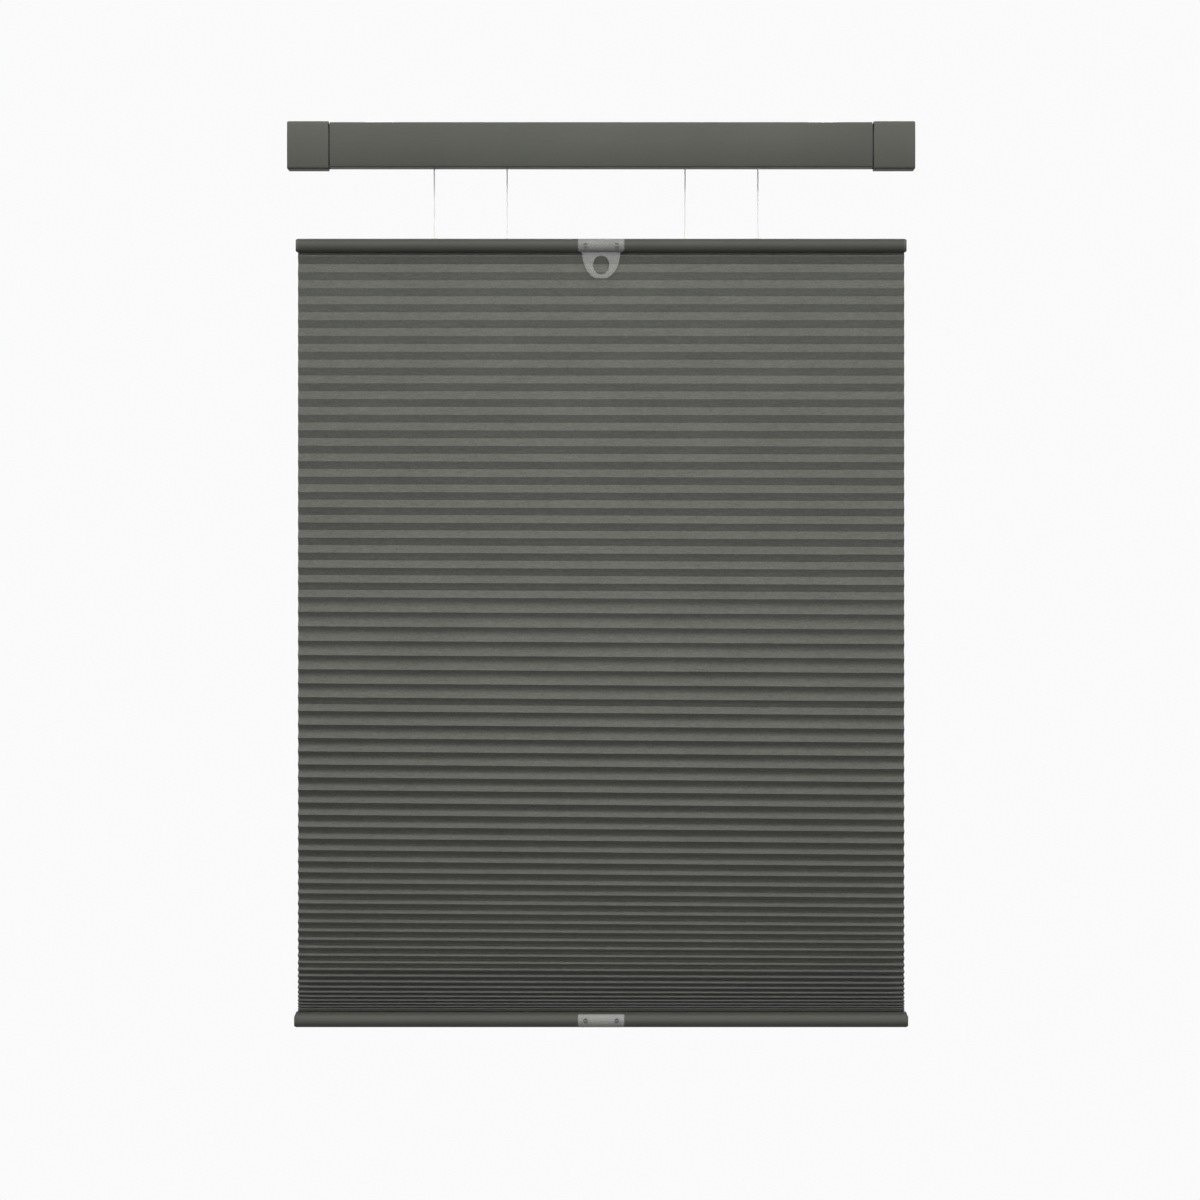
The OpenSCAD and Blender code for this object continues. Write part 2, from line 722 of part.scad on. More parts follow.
// Screws of a handle, from the front through the rail's half-round nose
module at_handle_screws(z) {
    for (side = [left, right]) translate([side * screw_span / 2, 0, z]) rotate([-90, 0, 0]) children();
}
screw_sink = 0.6;
screw_len = clip_t + slim_wall + 3;
module handle_screw_ways(z, d) {
    at_handle_screws(z) translate([0, 0, -d]) cylinder(d = screw_shank + 2 * run_gap, h = d / 2 + 4);
}
module handle_screws(z, d) {
    face = -d / 2 - fit_gap - clip_t;
    slot = [screw_head, 0.6, 0.5];
    color(c_steel) difference() {
        at_handle_screws(z) {
            translate([0, 0, face]) cylinder(d = screw_head, h = screw_sink);
            translate([0, 0, face + screw_sink / 2]) cylinder(d = screw_shank, h = screw_len);
        }
        at_handle_screws(z) translate([0, 0, face]) cube(slot, center = true);
    }
}

// Clip that hugs the nose of a rail, with a raised panel between its two screws
module nose_band(z, h, d, inner, outer, outline_w) {
    r = h / 2;
    along_x(-outline_w / 2, outline_w / 2) intersection() {
        translate([r - d / 2, z]) difference() {
            circle(r = r + outer);
            circle(r = r + inner);
        }
        span([-d, z - r], [r - d / 2, z + r - free_gap]);
    }
}
module clip_outline(z, h) {
    low = z - h / 2;
    span([-clip_w / 2, low + clip_corner], [clip_w / 2, z + h]);
    span([clip_corner - clip_w / 2, low], [clip_w / 2 - clip_corner, z]);
    for (x = [clip_corner - clip_w / 2, clip_w / 2 - clip_corner])
        translate([x, low + clip_corner]) circle(r = clip_corner);
}
module panel_outline(z) {
    r = panel_h / 2;
    span([r - panel_w / 2, z - r], [panel_w / 2 - r, z + r]);
    for (x = [r - panel_w / 2, panel_w / 2 - r]) translate([x, z]) circle(r = r);
}
panel_rise = 0.4;
module clip_body(z, h, d) {
    intersection() {
        nose_band(z, h, d, fit_gap, fit_gap + clip_t, clip_w);
        along_y(-d, 0) clip_outline(z, h);
    }
    intersection() {
        nose_band(z, h, d, fit_gap + clip_t / 2, fit_gap + clip_t + panel_rise, panel_w);
        along_y(-d, 0) panel_outline(z);
    }
}
module screw_seats(z, d) {
    face = -d / 2 - fit_gap - clip_t;
    at_handle_screws(z) {
        translate([0, 0, face - 2]) cylinder(d = screw_head + 2 * fit_gap, h = 2 + screw_sink);
        translate([0, 0, face - 2]) cylinder(d = screw_shank + 2 * fit_gap, h = clip_t + 4);
    }
}

// Pull tab on the clip's lower edge: half an ellipse cut off flat at its tip, with an oval finger hole
tab_flat_angle = 17;
tab_seat = 0.1;
module pull_tab() {
    y0 = -mid_d / 2 - fit_gap - clip_t + tab_back;
    y1 = y0 + tab_t;
    nose_r = mid_h / 2 + fit_gap + tab_seat;
    nose_y = y1 - (mid_h - mid_d) / 2;
    top = mid_z - sqrt(nose_r * nose_r - nose_y * nose_y);
    root = [0, mid_bottom];
    hole = [0, mid_bottom - tab_drop * 0.47];
    along_y(y0, y1) difference() {
        union() {
            polygon(concat(
                arc(root, tab_w / 2, tab_drop, 180, 270 - tab_flat_angle, 20),
                arc(root, tab_w / 2, tab_drop, 270 + tab_flat_angle, 360, 20)
            ));
            span([-tab_w / 2, mid_bottom], [tab_w / 2, top]);
        }
        polygon(arc(hole, finger_w / 2, finger_h / 2, 360 / hole_steps, 360, hole_steps - 1));
    }
}

module middle_handle() {
    color(c_clear) difference() {
        union() {
            clip_body(mid_z, mid_h, mid_d);
            pull_tab();
        }
        screw_seats(mid_z, mid_d);
    }
}

module bottom_clip() {
    color(c_clear) difference() {
        clip_body(bot_z, bot_h, bot_d);
        screw_seats(bot_z, bot_d);
    }
}

// One cell's hollow between two glued strips, its walls parallel to the folds outside
module cell_hollow(i) {
    top = valleys[i];
    low = valleys[i + 1];
    ridge = ridges[i];
    depth = depths[i];
    rise = fabric_t * pleat_face / depth;
    inset_top = depth * (rise - fabric_t) / (top - ridge);
    inset_low = depth * (rise - fabric_t) / (ridge - low);
    nose = glue_w / 2 + depth - 2 * depth * rise / (top - low);
    polygon([
        [inset_top - glue_w / 2, top - fabric_t], [glue_w / 2 - inset_top, top - fabric_t],
        [nose, ridge], [glue_w / 2 - inset_low, low + fabric_t],
        [inset_low - glue_w / 2, low + fabric_t], [-nose, ridge]
    ]);
}

// Folded front of the fabric from the top glue line to the bottom one
function folds() = [for (i = [0 : pleats]) each [
    [-glue_w / 2, valleys[i]], [-glue_w / 2 - depths[i], ridges[i]]
]];
function mirrored(points) = [for (k = [len(points) - 1 : -1 : 0]) [-points[k][0], points[k][1]]];
// Glued strip of fabric that reaches through a rail's slot, between the rail's caps
module fabric_neck(rail_w, z0, z1) {
    half = min(fabric_w / 2, rail_w / 2 - plug_t - free_gap);
    along_x(-half, half) span([-glue_w / 2, z0], [glue_w / 2, z1]);
}

module pleated_fabric() {
    front_folds = concat(folds(), [[-glue_w / 2, bot_top]]);
    color(c_fabric) difference() {
        union() {
            along_x(-fabric_w / 2, fabric_w / 2) difference() {
                polygon(concat(front_folds, mirrored(front_folds)));
                for (i = [0 : pleats]) cell_hollow(i);
            }
            fabric_neck(mid_w, mid_bottom - fabric_t, middle_strip_z);
            fabric_neck(bot_w, bottom_strip_z + strip_h, bot_top + fabric_t);
        }
        for (side = [left, right])
            cord_way(side * bottom_span / 2, rear, bot_bottom, mid_top, cord_d + 2 * free_gap);
    }
}

// Lift cord from its spool to the stop that holds its end
module lift_cord(span_w, side, row, end_z) {
    color(c_white) cord_way(side * span_w / 2, row, end_z, shaft_z, cord_d);
}

head_rail();
head_cap(left);  // head_cap_left
head_cap(right);  // head_cap_right
bracket(left);  // bracket_left
bracket(right);  // bracket_right
cradle(middle_span, left, front);  // middle_cradle_left
cradle(middle_span, right, front);  // middle_cradle_right
cradle(bottom_span, left, rear);  // bottom_cradle_left
cradle(bottom_span, right, rear);  // bottom_cradle_right
lift_shaft(middle_span, front);  // middle_shaft
spool(middle_span, left, front);  // middle_spool_left
spool(middle_span, right, front);  // middle_spool_right
cord_turns(middle_span, front);  // middle_cord_turns
lift_shaft(bottom_span, rear);  // bottom_shaft
spool(bottom_span, left, rear);  // bottom_spool_left
spool(bottom_span, right, rear);  // bottom_spool_right
cord_turns(bottom_span, rear);  // bottom_cord_turns
motor_plate(front, left);  // middle_motor_plate_left
motor_plate(front, right);  // middle_motor_plate_right
output_drum(front);  // middle_output_drum
storage_drum(front);  // middle_storage_drum
storage_pin(front);  // middle_storage_pin
spring(front);  // middle_spring
motor_plate(rear, left);  // bottom_motor_plate_left
motor_plate(rear, right);  // bottom_motor_plate_right
output_drum(rear);  // bottom_output_drum
storage_drum(rear);  // bottom_storage_drum
storage_pin(rear);  // bottom_storage_pin
spring(rear);  // bottom_spring
middle_rail();
middle_rail_cap(left);  // middle_rail_cap_left
middle_rail_cap(right);  // middle_rail_cap_right
fabric_strip(middle_strip_z, mid_w);  // middle_fabric_strip
cord_stops(middle_span, front, middle_stop_z);  // middle_cord_stops
middle_cord_eyelets();
middle_handle();
handle_screws(mid_z, mid_d);  // middle_handle_screws
bottom_rail();
bottom_rail_cap(left);  // bottom_rail_cap_left
bottom_rail_cap(right);  // bottom_rail_cap_right
fabric_strip(bottom_strip_z, bot_w);  // bottom_fabric_strip
cord_stops(bottom_span, rear, bottom_stop_z);  // bottom_cord_stops
bottom_clip();
handle_screws(bot_z, bot_d);  // bottom_clip_screws
pleated_fabric();
lift_cord(middle_span, left, front, middle_stop_z);  // middle_cord_left
lift_cord(middle_span, right, front, middle_stop_z);  // middle_cord_right
lift_cord(bottom_span, left, rear, bottom_stop_z);  // bottom_cord_left
lift_cord(bottom_span, right, rear, bottom_stop_z);  // bottom_cord_right
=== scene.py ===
import json
import math

import bpy
import numpy as np
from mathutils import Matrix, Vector


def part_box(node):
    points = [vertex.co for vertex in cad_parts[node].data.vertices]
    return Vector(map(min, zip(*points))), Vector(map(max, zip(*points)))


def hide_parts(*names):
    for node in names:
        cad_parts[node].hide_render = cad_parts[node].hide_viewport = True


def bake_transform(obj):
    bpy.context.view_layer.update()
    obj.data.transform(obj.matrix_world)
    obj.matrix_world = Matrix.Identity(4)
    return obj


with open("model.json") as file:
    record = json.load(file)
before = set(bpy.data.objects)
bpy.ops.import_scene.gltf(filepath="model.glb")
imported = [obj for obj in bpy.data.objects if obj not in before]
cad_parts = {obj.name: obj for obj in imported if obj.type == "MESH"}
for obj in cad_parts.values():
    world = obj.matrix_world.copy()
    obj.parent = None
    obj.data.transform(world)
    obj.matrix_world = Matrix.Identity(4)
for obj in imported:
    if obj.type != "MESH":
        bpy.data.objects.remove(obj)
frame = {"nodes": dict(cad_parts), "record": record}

scene = bpy.context.scene
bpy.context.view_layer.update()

# Sizes that the solids have too, in metres
WIDTH = 0.590  # width of the fabric
DROP = 0.7386  # fabric from the middle rail down to the bottom rail
FIRST_FOLD = 0.0036  # from the middle rail down to the first ridge
LAST_FOLD = 0.0014  # from the last ridge down to the bottom rail
PLEAT_MEAN = 0.01145  # mean height of a pleat as it hangs
PLEAT_STACK = 0.47  # share of the pleats over which the stack opens out
GLUE = 0.0025  # half the width of the glued strip between two cells
CLOTH = 0.00035  # thickness of the cloth
CORD_R = 0.0006  # radius of a lift cord

# Heights of the rails at rest
MID_LOW, MID_TOP = (corner.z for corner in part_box("middle_rail"))
BOT_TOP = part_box("bottom_rail")[1].z

# Forms of the hung cloth that only this script has, in metres where they are lengths
PLEAT_SLACK = 1.045  # length of a pleat's two faces over the height of the top pleat
FIRST_REACH = 0.0039  # depth of the first fold
LAST_LIFT = 0.0006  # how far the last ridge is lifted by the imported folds
SPLIT = 0.431  # depth below the middle rail at which the two sheets meet
STATIONS = 61  # sections across the width
FACE_STEPS = (0.0, 0.25, 0.55, 1.0)  # places of a face's points, from its crease to its valley
EDGE = 0.08  # share of a face that lies before its first step at a sharp crease
NOSE = 0.0007  # half the height of a blunt crease
NOSE_SHARE = 0.3  # largest share of half a fold that a blunt crease takes
SHOULDER = 0.5  # how far a blunt crease's shoulder lies behind its ridge, for its half height
BLUNT_RISE = 5  # how late on the way down the creases become blunt
SHARP_NOSE = 0.4  # bluntness below which a ridge is shaded as a crease
HOLLOW = 0.80  # how hollow the slackest faces are
HOLLOW_LOW = 2.4  # how low on the fabric the slackest faces are
SHARP_SAG = 0.35  # hollowness below which a valley is shaded as a crease
PINCH = 0.08  # how far a fold's end is drawn in, for each metre behind its ridge
SLANT = 0.036  # how far the folds run down to the right, before the two powers below
SLANT_RISE = 2.6
SLANT_FALL = 0.9
RIPPLE = 0.00008  # long waves of the folds, up and down
TREMOR = 0.00004  # short waves of the folds, up and down
BILLOW = 0.00015  # waves of the folds, in and out


# Camera
def make_camera():
    """A level camera so far away that it sees hardly any underside."""
    far = 10.0
    front = 0.02  # plane of the blind's front, ahead of the origin
    view_width = 1.1656  # width of the picture at that plane
    sensor = 36.0
    data = bpy.data.cameras.new("camera")
    data.sensor_width = sensor
    data.lens = sensor * (far - front) / view_width
    data.clip_end = 100.0
    camera = bpy.data.objects.new("camera", data)
    camera.location = (-0.0011, -far, -0.4651)
    camera.rotation_euler = (math.radians(90), 0, 0)
    scene.collection.objects.link(camera)
    scene.camera = camera


make_camera()
scene.view_settings.view_transform = "Standard"


# Materials
def new_material(name):
    mat = bpy.data.materials.new(name)
    mat.use_nodes = True
    nodes, links = mat.node_tree.nodes, mat.node_tree.links
    shader = nodes["Principled BSDF"]
    return mat, nodes, links, shader


def set_inputs(node, values):
    for name, value in values.items():
        node.inputs[name].default_value = value


def object_place(nodes):
    return nodes.new("ShaderNodeTexCoord").outputs["Object"]


def noise(nodes, links, scale, detail, rough=0.55):
    """Noise from 0 to 1, with its scale along each axis in cells a metre."""
    mapping = nodes.new("ShaderNodeMapping")
    set_inputs(mapping, {"Scale": scale})
    links.new(object_place(nodes), mapping.inputs["Vector"])
    texture = nodes.new("ShaderNodeTexNoise")
    set_inputs(texture, {"Scale": 1.0, "Detail": detail, "Roughness": rough})
    links.new(mapping.outputs["Vector"], texture.inputs["Vector"])
    return texture.outputs["Fac"]


def ramp(nodes, links, value, stops):
    node = nodes.new("ShaderNodeValToRGB")
    elements = node.color_ramp.elements
    while len(elements) < len(stops):
        elements.new(0.5)
    for element, (place, colour) in zip(elements, stops):
        element.position = place
        element.color = (*colour, 1.0)
    links.new(value, node.inputs["Fac"])
    return node.outputs["Color"]


def wander(nodes, links, value, dark, light):
    """A colour that goes from dark to light where most of the noise lies."""
    return ramp(nodes, links, value, [(0.3, dark), (0.7, light)])


def mix(nodes, links, first, second, share):
    """The first value with a share of the second, so that noise stays between 0 and 1."""
    node = nodes.new("ShaderNodeMix")
    set_inputs(node, {"Factor": share})
    links.new(first, node.inputs["A"])
    links.new(second, node.inputs["B"])
    return node.outputs["Result"]


def ranged(nodes, links, value, low, high):
    node = nodes.new("ShaderNodeMapRange")
    set_inputs(node, {"To Min": low, "To Max": high})
    links.new(value, node.inputs["Value"])
    return node.outputs["Result"]


def bump(nodes, links, shader, height, strength, distance):
    node = nodes.new("ShaderNodeBump")
    set_inputs(node, {"Strength": strength, "Distance": distance})
    links.new(height, node.inputs["Height"])
    links.new(node.outputs["Normal"], shader.inputs["Normal"])


def level_band(nodes, links, middle, half):
    """1 where the height is within half of middle, and 0 above and below that band."""
    split = nodes.new("ShaderNodeSeparateXYZ")
    links.new(object_place(nodes), split.inputs["Vector"])
    within = nodes.new("ShaderNodeMath")
    within.operation = "COMPARE"
    links.new(split.outputs["Z"], within.inputs[0])
    within.inputs[1].default_value = middle
    within.inputs[2].default_value = half
    return within.outputs[0]


def shade(colour, k):
    return tuple(min(1.0, c * k) for c in colour)


def make_finish(name, colour, spread, rough, grain, depth, metallic=0.0, gloss=0.2):
    """Paint, plastic or metal whose colour and roughness wander a little, over a fine grain."""
    rough_spread = 0.06
    mat, nodes, links, shader = new_material(name)
    broad = noise(nodes, links, scale=(9, 9, 9), detail=3.0)
    fine = noise(nodes, links, grain, detail=3.0, rough=0.6)
    both = mix(nodes, links, broad, fine, share=0.4)
    tone = wander(nodes, links, both, shade(colour, 1 - spread), shade(colour, 1 + spread))
    links.new(tone, shader.inputs["Base Color"])
    roughness = ranged(nodes, links, fine, rough - rough_spread, rough + rough_spread)
    links.new(roughness, shader.inputs["Roughness"])
    set_inputs(shader, {"Specular IOR Level": gloss, "Metallic": metallic})
    bump(nodes, links, shader, fine, strength=0.25, distance=depth)
    return mat


def make_fabric():
    """Matt cloth with streaks along its folds, fine fibres and faint clouds."""
    base = (0.124, 0.127, 0.111)
    mat, nodes, links, shader = new_material("pleat_fabric")
    streaks = noise(nodes, links, scale=(110, 420, 520), detail=5.0, rough=0.62)
    fibres = noise(nodes, links, scale=(520, 900, 900), detail=4.0, rough=0.7)
    cloud = noise(nodes, links, scale=(14, 14, 30), detail=2.0, rough=0.5)
    grain = mix(nodes, links, streaks, fibres, share=0.6)
    both = mix(nodes, links, grain, cloud, share=0.11)
    tone = wander(nodes, links, both, shade(base, 0.64), shade(base, 1.36))
    links.new(tone, shader.inputs["Base Color"])
    set_inputs(shader, {"Roughness": 0.92, "Specular IOR Level": 0.25})
    set_inputs(shader, {"Sheen Weight": 0.12, "Sheen Roughness": 0.5})
    height = mix(nodes, links, fibres, streaks, share=0.4)
    bump(nodes, links, shader, height, strength=0.35, distance=0.00018)
    return mat


def make_frosted(name, cover):
    """Clear plastic with a milky veil; cover is how much of what lies behind it one wall hides."""
    cover_spread = 0.006
    mat, nodes, links, shader = new_material(name)
    fine = noise(nodes, links, scale=(900, 900, 900), detail=3.0, rough=0.6)
    cloud = noise(nodes, links, scale=(60, 60, 60), detail=2.0, rough=0.5)
    tone = wander(nodes, links, cloud, dark=(0.86, 0.87, 0.83), light=(0.92, 0.93, 0.89))
    links.new(tone, shader.inputs["Base Color"])
    links.new(ranged(nodes, links, fine, low=0.40, high=0.55), shader.inputs["Roughness"])
    veil = ranged(nodes, links, fine, cover - cover_spread, cover + cover_spread)
    links.new(veil, shader.inputs["Alpha"])
    bump(nodes, links, shader, fine, strength=0.1, distance=0.00004)
    return mat


def make_screw(node):
    """Dark zinc heads, with a painted highlight: a lighter level band across their middle."""
    zinc = (0.105, 0.105, 0.10)
    highlight_tone = (0.27, 0.27, 0.26)
    half_band = 0.0004
    mat, nodes, links, shader = new_material(node + "_zinc")
    fine = noise(nodes, links, scale=(900, 900, 900), detail=3.0, rough=0.6)
    low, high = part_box(node)
    # Painted highlight: a lighter level band across the middle of each head
    highlight_band = level_band(nodes, links, (low.z + high.z) / 2, half_band)
    both = mix(nodes, links, fine, highlight_band, share=0.5)
    stops = [
        (0.15, shade(zinc, 0.9)),
        (0.35, shade(zinc, 1.1)),
        (0.65, shade(highlight_tone, 0.9)),
        (0.85, shade(highlight_tone, 1.1)),
    ]
    links.new(ramp(nodes, links, both, stops), shader.inputs["Base Color"])
    links.new(ranged(nodes, links, fine, low=0.54, high=0.66), shader.inputs["Roughness"])
    set_inputs(shader, {"Specular IOR Level": 0.2, "Metallic": 0.2})
    bump(nodes, links, shader, fine, strength=0.25, distance=0.00004)
    return mat


def make_cord_material():
    """Pale braid with slanting strands."""
    mat, nodes, links, shader = new_material("cord")
    wave = nodes.new("ShaderNodeTexWave")
    wave.bands_direction = "DIAGONAL"
    set_inputs(wave, {"Scale": 420.0, "Distortion": 1.5})
    links.new(object_place(nodes), wave.inputs["Vector"])
    strands = wave.outputs["Fac"]
    tone = ramp(nodes, links, strands, [(0.0, (0.84, 0.85, 0.80)), (1.0, (0.95, 0.96, 0.92))])
    links.new(tone, shader.inputs["Base Color"])
    set_inputs(shader, {"Roughness": 0.75})
    bump(nodes, links, shader, strands, strength=0.4, distance=0.0001)
    return mat


OLIVE = (0.097, 0.0995, 0.086)
# A darker copy of the rail paint for the middle rail: painted shade
SHADED_OLIVE = (0.078, 0.080, 0.0695)
DRAWN_PAINT = (70, 1500, 1500)

FINISHES = {
    "rail_paint": dict(
        colour=OLIVE, spread=0.10, rough=0.52, grain=DRAWN_PAINT, depth=0.00004, gloss=0.1
    ),
    # The rail paint made darker for the middle rail: painted shade
    "shaded_rail_paint": dict(
        colour=SHADED_OLIVE, spread=0.08, rough=0.52, grain=DRAWN_PAINT, depth=0.00004, gloss=0.1
    ),
    # The rail paint made lighter for the bottom rail: painted light
    "lit_rail_paint": dict(
        colour=shade(OLIVE, 1.12), spread=0.05, rough=0.5, grain=(2600, 2600, 2600),
        depth=0.00004, gloss=0.1
    ),
    "cap_plastic": dict(
        colour=shade(OLIVE, 1.10), spread=0.05, rough=0.58, grain=(3200, 3200, 3200),
        depth=0.00005, gloss=0.1
    ),
    "bracket_steel": dict(
        colour=(0.55, 0.56, 0.57), spread=0.08, rough=0.38, grain=(60, 3000, 60),
        depth=0.00003, metallic=1.0
    ),
    "shaft_steel": dict(
        colour=(0.52, 0.53, 0.54), spread=0.08, rough=0.30, grain=(80, 4000, 4000),
        depth=0.00003, metallic=1.0
    ),
    "spring_steel": dict(
        colour=(0.40, 0.41, 0.44), spread=0.12, rough=0.34, grain=(40, 2500, 2500),
        depth=0.00003, metallic=1.0
    ),
    "nylon": dict(
        colour=(0.66, 0.66, 0.62), spread=0.04, rough=0.48, grain=(1800, 1800, 1800), depth=0.00004
    ),
    "strip_plastic": dict(
        colour=(0.74, 0.75, 0.73), spread=0.04, rough=0.42, grain=(50, 1500, 1500), depth=0.00003
    ),
}

materials = {name: make_finish(name, **look) for name, look in FINISHES.items()}
materials["handle_plastic"] = make_frosted("handle_plastic", cover=0.116)
materials["clip_plastic"] = make_frosted("clip_plastic", cover=0.20)
materials["cord"] = make_cord_material()
materials["pleat_fabric"] = make_fabric()

# Nodes that get another finish than their part record gives: the middle rail a darker copy of the rail
# paint, painted shade, the bottom rail a lighter copy, painted light, and the bottom clip a milkier plastic
OWN_AND_PAINTED_LIGHT_FINISH = {
    "middle_rail": "shaded_rail_paint",
    "bottom_rail": "lit_rail_paint",
    "bottom_clip": "clip_plastic",
}

for part in frame["record"]["subparts"]:
    node = part["node"]
    if node.endswith("_screws"):
        material = make_screw(node)
    else:
        material = materials[OWN_AND_PAINTED_LIGHT_FINISH.get(node, part["material_slot"])]
    slots = frame["nodes"][node].data.materials
    slots.clear()
    slots.append(material)


def new_object(name, vertices, faces, material):
    """A smooth-shaded mesh object with one material."""
    mesh = bpy.data.meshes.new(name)
    mesh.from_pydata(vertices, [], faces)
    mesh.validate()
    mesh.update()
    mesh.polygons.foreach_set("use_smooth", [True] * len(mesh.polygons))
    mesh.materials.append(material)
    obj = bpy.data.objects.new(name, mesh)
    scene.collection.objects.link(obj)
    return obj


# Pleated fabric
def pleat_levels():
    """Heights of the ridges and valleys by the law of the solids, and the depths that the slack gives."""
    span = DROP - FIRST_FOLD - LAST_FOLD
    count = round(span / PLEAT_MEAN)
    opening = [math.tanh((count + 2 - i) / (PLEAT_STACK * count)) for i in range(count)]
    step = span / sum(opening)
    ridges = [MID_LOW - FIRST_FOLD]
    for share in opening:
        ridges.append(ridges[-1] - step * share)
    valleys = [MID_LOW]
    valleys += [(a + b) / 2 for a, b in zip(ridges, ridges[1:])]
    valleys.append(BOT_TOP)
    face = PLEAT_SLACK * (ridges[0] - ridges[1]) / 2
    depths = []
    for i in range(count + 1):
        above, below = ridges[max(i - 1, 0)], ridges[min(i + 1, count)]
        half = (above - below) / (2 if i in (0, count) else 4)
        depths.append(math.sqrt(face * face - half * half))
    depths[0] = FIRST_REACH
    ridges[-1] += LAST_LIFT
    return ridges, valleys, depths, face


RIDGES, VALLEYS, DEPTHS, FACE = pleat_levels()


def sway(x, z):
    """How far a point of the hung cloth lies outwards and upwards of its even place."""
    u = np.clip((MID_LOW - z) / DROP, 0.0, 1.0)
    free = np.sin(np.pi * u) * (1 - u)
    tilt = SLANT * u**SLANT_RISE * (1 - u) ** SLANT_FALL
    lift = -tilt * x / WIDTH
    # The waves are in radians a metre along x and z
    lift = lift + free * RIPPLE * np.sin(31 * x + 210 * z) * np.cos(17 * x - 95 * z)
    lift = lift + free * TREMOR * np.sin(83 * x - 160 * z + 1.3)
    out = free * BILLOW * np.sin(23 * x + 140 * z + 0.7)
    return out, lift


def hollow(z):
    """How far the faces of a fold sag from straight: little where the cloth is stretched or packed tight."""
    u = (MID_LOW - z) / DROP
    return HOLLOW * math.sin(math.pi * u**HOLLOW_LOW)


def roundness(z):
    """How blunt a crease is: sharp where the cloth is stretched, round where the folds are packed."""
    return ((MID_LOW - z) / DROP) ** BLUNT_RISE


def half_fold(base, reach, ridge, valley, sag, blunt=0.0):
    """Depth and height of the points from a ridge, over its nose, to the valley next to it."""
    drop = valley - ridge
    nose = min(NOSE, NOSE_SHARE * abs(drop))
    edge = EDGE + blunt * (nose / abs(drop) - EDGE)
    sharp_bend = 1 - (1 - sag) * EDGE - sag * math.sin(math.pi * EDGE / 2)
    round_bend = 1 - SHOULDER * nose / reach
    shoulder = sharp_bend + blunt * (round_bend - sharp_bend)
    points = [(base + reach, ridge)]
    for t in FACE_STEPS:
        bend = shoulder * ((1 - sag) * (1 - t) + sag * (1 - math.sin(math.pi * t / 2)))
        points.append((base + reach * bend, ridge + drop * (edge + (1 - edge) * t)))
    return points


class Section:
    """Pairs of points in front and behind, the strips that run along X between them, and the end faces."""

    def __init__(self):
        self.points = []
        self.drawn_in = []
        self.creases = set()
        self.strips = []
        self.ends = []

    def pair(self, y, z, drawn_in=0.0, crease=False):
        """Add the points at depth y in front and behind, and give their numbers."""
        numbers = len(self.points), len(self.points) + 1
        self.points += [(-y, z), (y, z)]
        self.drawn_in += [drawn_in, drawn_in]
        if crease:
            self.creases.update(numbers)
        return numbers

    def wall(self, upper, lower, inside=False):
        """Add the front and back strips between two pairs."""
        a, b = (lower, upper) if inside else (upper, lower)
        self.strips += [(a[0], b[0]), (b[1], a[1])]

    def neck(self, upper, lower):
        """Add the glued neck that enters a rail."""
        self.wall(upper, lower)
        self.ends.append((upper[0], lower[0], lower[1], upper[1]))


def add_cell(section, i, valley, last):
    """Add one cell below a valley, with walls of the cloth's thickness, and give the valley below it."""
    top, low, ridge, depth = VALLEYS[i], VALLEYS[i + 1], RIDGES[i], DEPTHS[i]
    sag = hollow(ridge)
    blunt = roundness(ridge)
    above = half_fold(GLUE, depth, ridge, top, sag, blunt)
    below = half_fold(GLUE, depth, ridge, low, sag, blunt)
    outer = [valley]
    for y, z in above[-2::-1] + below[1:-1]:
        crease = z == ridge and blunt < SHARP_NOSE
        outer.append(section.pair(y, z, PINCH * (GLUE + depth - y), crease))
    outer.append(section.pair(GLUE, low, PINCH * depth, sag < SHARP_SAG or last))

    rise = CLOTH * FACE / depth
    nose = max(GLUE + depth - 2 * depth * rise / (top - low), GLUE)
    in_top = GLUE - depth * (rise - CLOTH) / (top - ridge)
    in_low = GLUE - depth * (rise - CLOTH) / (ridge - low)
    above = half_fold(in_top, nose - in_top, ridge, top - CLOTH, sag)
    below = half_fold(in_low, nose - in_low, ridge, low + CLOTH, sag)
    inner = []
    for y, z in above[::-1] + below[1:]:
        inner.append(section.pair(y, z, PINCH * max(GLUE + depth - y, 0), crease=True))

    for a, b in zip(outer, outer[1:]):
        section.wall(a, b)
    for a, b in zip(inner, inner[1:]):
        section.wall(a, b, inside=True)
    section.strips += [(inner[0][0], inner[0][1]), (inner[-1][1], inner[-1][0])]
    for k in range(len(outer) - 1):
        ring = (outer[k], outer[k + 1], inner[k + 1], inner[k])
        section.ends.append(tuple(pair[0] for pair in ring))
        section.ends.append(tuple(pair[1] for pair in reversed(ring)))
    section.ends.append((outer[0][0], inner[0][0], inner[0][1], outer[0][1]))
    section.ends.append((inner[-1][0], outer[-1][0], outer[-1][1], inner[-1][1]))
    return outer[-1]


def mark_creases(mesh, section):
    """Make the edges along the creases and round the two ends sharp."""
    total = len(section.points)
    pairs = np.zeros(len(mesh.edges) * 2, int)
    mesh.edges.foreach_get("vertices", pairs)
    pairs = pairs.reshape(-1, 2)
    lengthwise = pairs[:, 0] % total == pairs[:, 1] % total
    creased = lengthwise & np.isin(pairs[:, 0] % total, list(section.creases))
    at_end = np.isin(pairs // total, (0, STATIONS - 1)).all(axis=1)
    mesh.edges.foreach_set("use_edge_sharp", creased | at_end)


